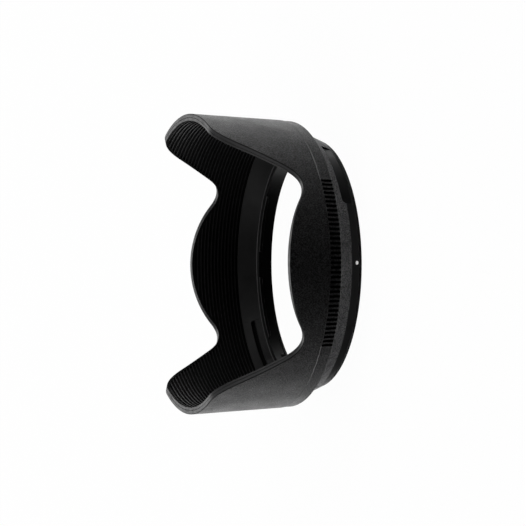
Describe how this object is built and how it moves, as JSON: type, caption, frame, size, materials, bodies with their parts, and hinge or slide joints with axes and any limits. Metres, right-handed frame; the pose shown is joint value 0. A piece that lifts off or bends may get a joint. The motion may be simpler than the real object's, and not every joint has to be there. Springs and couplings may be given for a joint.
{
  "type": "petal lens hood",
  "caption": "Petal-shaped lens hood with a bayonet mount, a ribbed light trap inside and a serrated grip, sized for a wide zoom lens.",
  "frame": {"origin": "centre of the flat rear face that meets the lens", "axes": "+Z along the optical axis towards the front, -Y to the side with the index dot and a short petal, +X to a long petal"},
  "size_m": [0.1122, 0.1104, 0.0509],
  "materials": {
    "grained_shell": "fine moulded grain, black",
    "matte_liner": "dead matte black",
    "grained_grip": "fine moulded grain, black",
    "grained_collar": "fine moulded grain in front, smooth satin behind, black",
    "satin_mount": "smooth satin, black",
    "satin_tongue": "smooth satin, black",
    "white_paint": "white paint fill"
  },
  "bodies": {
    "hood": {"petal_shell": "grained_shell", "light_trap_liner": "matte_liner", "grip_ring": "grained_grip", "collar_ring": "grained_collar", "mount_ring": "satin_mount", "index_dot": "white_paint"},
    "tongue_a": {"detent_tongue_a": "satin_tongue"},
    "tongue_b": {"detent_tongue_b": "satin_tongue"}
  },
  "joints": [
    {"name": "tongue_a_flex", "type": "hinge", "parent": "hood", "child": "tongue_a", "pos_m": [0.02147, -0.04125, 0], "axis": [0, 0, -1], "range_deg": [0, 1.3], "stiffness_Nm_per_rad": 4.4},
    {"name": "tongue_b_flex", "type": "hinge", "parent": "hood", "child": "tongue_b", "pos_m": [-0.02147, 0.04125, 0], "axis": [0, 0, -1], "range_deg": [0, 1.3], "stiffness_Nm_per_rad": 4.4}
  ]
}
